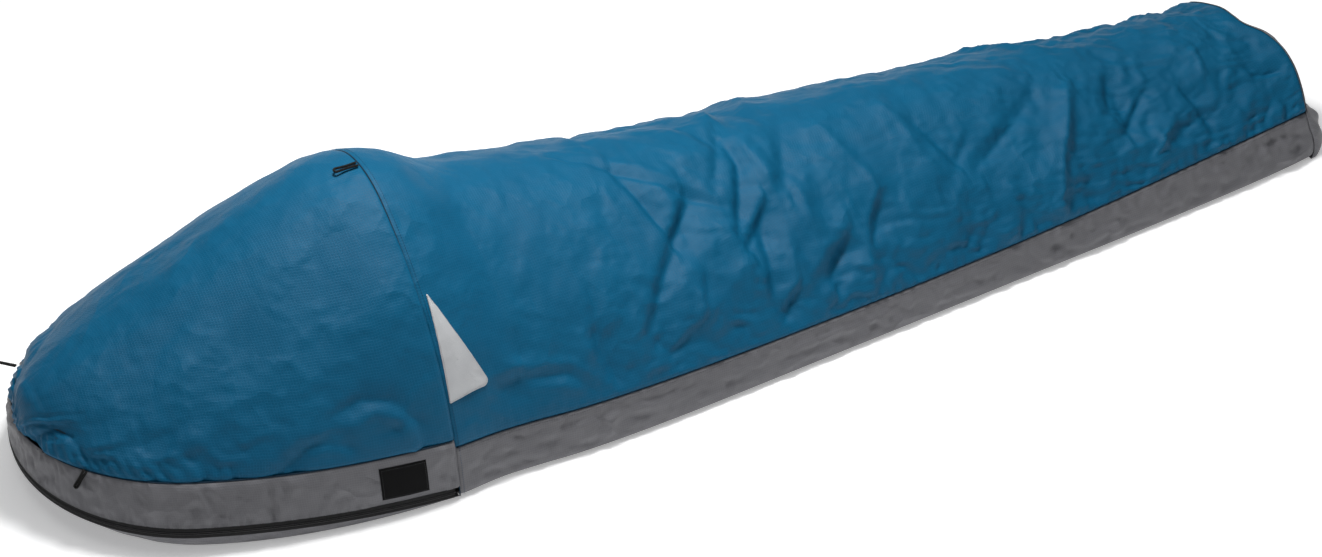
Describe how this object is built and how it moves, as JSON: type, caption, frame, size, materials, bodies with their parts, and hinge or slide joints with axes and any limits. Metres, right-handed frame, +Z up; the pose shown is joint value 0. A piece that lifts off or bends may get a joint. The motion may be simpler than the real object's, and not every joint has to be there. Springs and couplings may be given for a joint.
{
  "type": "bivy sack",
  "caption": "One-person bivy sack: gray floor tub, blue upper over a foot-end taper, hoop-supported zipped hood, inner mesh door, guy loops.",
  "frame": {"origin": "on the ground, at the centre of the bounding box in X and Y", "axes": "+X from the head to the foot, +Y to the left side of a sleeper who lies on the back, +Z up"},
  "size_m": [2.1386, 0.6194, 0.399],
  "materials": {
    "blue_fabric": "coated ripstop with a soft sheen",
    "gray_fabric": "matt coated ripstop",
    "black_fabric": "matt woven webbing and tape",
    "reflective_fabric": "light reflective cloth",
    "label_fabric": "satin woven label, left blank",
    "mesh_fabric": "fine insect netting",
    "zip_tape": "woven polyester zip tape",
    "zip_coil": "nylon coil",
    "zip_metal": "black painted zinc",
    "pull_tab": "moulded tab",
    "pole_tube": "satin anodised",
    "ferrule_tube": "plain drawn tube",
    "black_plastic": "moulded plug",
    "elastic_cord": "braided shock cord",
    "loop_cord": "braided guy cord"
  },
  "bodies": {
    "sack": {"floor_panel": "gray_fabric", "head_tub_wall": "gray_fabric", "side_band_left": "gray_fabric", "side_band_right": "gray_fabric", "foot_band": "gray_fabric", "foot_end_panel": "gray_fabric", "torso_panel": "blue_fabric", "reflective_patch": "reflective_fabric", "pole_sleeve": "black_fabric", "pole_apex": "pole_tube", "pole_upper_left": "pole_tube", "pole_upper_right": "pole_tube", "pole_lower_left": "pole_tube", "pole_lower_right": "pole_tube", "ferrule_upper_left": "ferrule_tube", "ferrule_upper_right": "ferrule_tube", "ferrule_lower_left": "ferrule_tube", "ferrule_lower_right": "ferrule_tube", "pole_tip_left": "black_plastic", "pole_tip_right": "black_plastic", "shock_cord": "elastic_cord", "pole_pocket_left": "black_fabric", "pole_pocket_right": "black_fabric", "tub_hem": "gray_fabric", "zip_tape_lower": "zip_tape", "zip_coil_lower": "zip_coil", "zip_end_stops": "zip_metal", "mesh_zip_tape": "zip_tape", "pad_strap_head": "black_fabric", "pad_strap_foot": "black_fabric"},
    "hood": {"hood_panel": "blue_fabric", "hood_band": "gray_fabric", "zip_tape_upper": "zip_tape", "zip_coil_upper": "zip_coil", "blank_label": "label_fabric"},
    "mesh_door": {"mesh_panel": "mesh_fabric", "mesh_binding": "black_fabric"},
    "front_slider": {"zip_slider_front": "zip_metal"},
    "front_pull": {"zip_pull_front": "pull_tab"},
    "rear_slider": {"zip_slider_rear": "zip_metal"},
    "rear_pull": {"zip_pull_rear": "pull_tab"},
    "door_slider": {"mesh_slider": "zip_metal"},
    "door_pull": {"mesh_pull": "pull_tab"},
    "top_guy": {"apex_loop": "loop_cord"},
    "left_guy": {"side_loop_left": "loop_cord"},
    "right_guy": {"side_loop_right": "loop_cord"},
    "foot_guy": {"foot_loop": "loop_cord"}
  },
  "joints": [
    {"name": "hood_swing", "type": "hinge", "parent": "sack", "child": "hood", "pos_m": [-0.51755, 0, 0.014], "axis": [0, 1, 0], "range_deg": [0, 60], "deforming": ["hood_panel"]},
    {"name": "mesh_door_swing", "type": "hinge", "parent": "sack", "child": "mesh_door", "pos_m": [-0.51755, 0, 0.014], "axis": [0, 1, 0], "range_deg": [0, 57], "deforming": ["mesh_panel"]},
    {"name": "front_slider_run", "type": "hinge", "parent": "sack", "child": "front_slider", "pos_m": [-0.80899, 0, 0.03093], "axis": [0.058, 0, 0.9983], "range_deg": [-3, 134]},
    {"name": "front_pull_flip", "type": "hinge", "parent": "front_slider", "child": "front_pull", "pos_m": [-0.91643, 0.24172, 0.03716], "axis": [0.058, 0, 0.9983], "range_deg": [-150, 0]},
    {"name": "rear_slider_run", "type": "hinge", "parent": "sack", "child": "rear_slider", "pos_m": [-0.51755, -0.84511, 0.014], "axis": [0.058, 0, 0.9983], "range_deg": [-15.2, 1.7]},
    {"name": "rear_pull_flip", "type": "hinge", "parent": "rear_slider", "child": "rear_pull", "pos_m": [-0.84831, 0.26522, 0.03321], "axis": [0.058, 0, 0.9983], "range_deg": [0, 150]},
    {"name": "door_slider_run", "type": "hinge", "parent": "sack", "child": "door_slider", "pos_m": [-0.80899, 0, 0.03093], "axis": [0.058, 0, 0.9983], "range_deg": [-6, 130]},
    {"name": "door_pull_flip", "type": "hinge", "parent": "door_slider", "child": "door_pull", "pos_m": [-0.92541, 0.21932, 0.03769], "axis": [0.058, 0, 0.9983], "range_deg": [0, 150]},
    {"name": "top_guy_lift", "type": "hinge", "parent": "sack", "child": "top_guy", "pos_m": [-0.52255, 0, 0.3975], "axis": [0, 1, 0], "range_deg": [0, 165]},
    {"name": "left_guy_lift", "type": "hinge", "parent": "hood", "child": "left_guy", "pos_m": [-1.01755, 0.13498, 0.11683], "axis": [0.5426, 0.7157, -0.4396], "range_deg": [-85, 35]},
    {"name": "right_guy_lift", "type": "hinge", "parent": "hood", "child": "right_guy", "pos_m": [-1.01755, -0.13498, 0.11683], "axis": [-0.5426, 0.7157, 0.4396], "range_deg": [0, 120]},
    {"name": "foot_guy_bend", "type": "hinge", "parent": "sack", "child": "foot_guy", "pos_m": [1.04325, 0, 0.06], "axis": [0, 1, 0], "range_deg": [-85, 70], "stiffness_Nm_per_rad": 0.003}
  ],
  "couplings": [
    {"joint": "mesh_door_swing", "follows": "hood_swing", "ratio": 0.95}
  ]
}
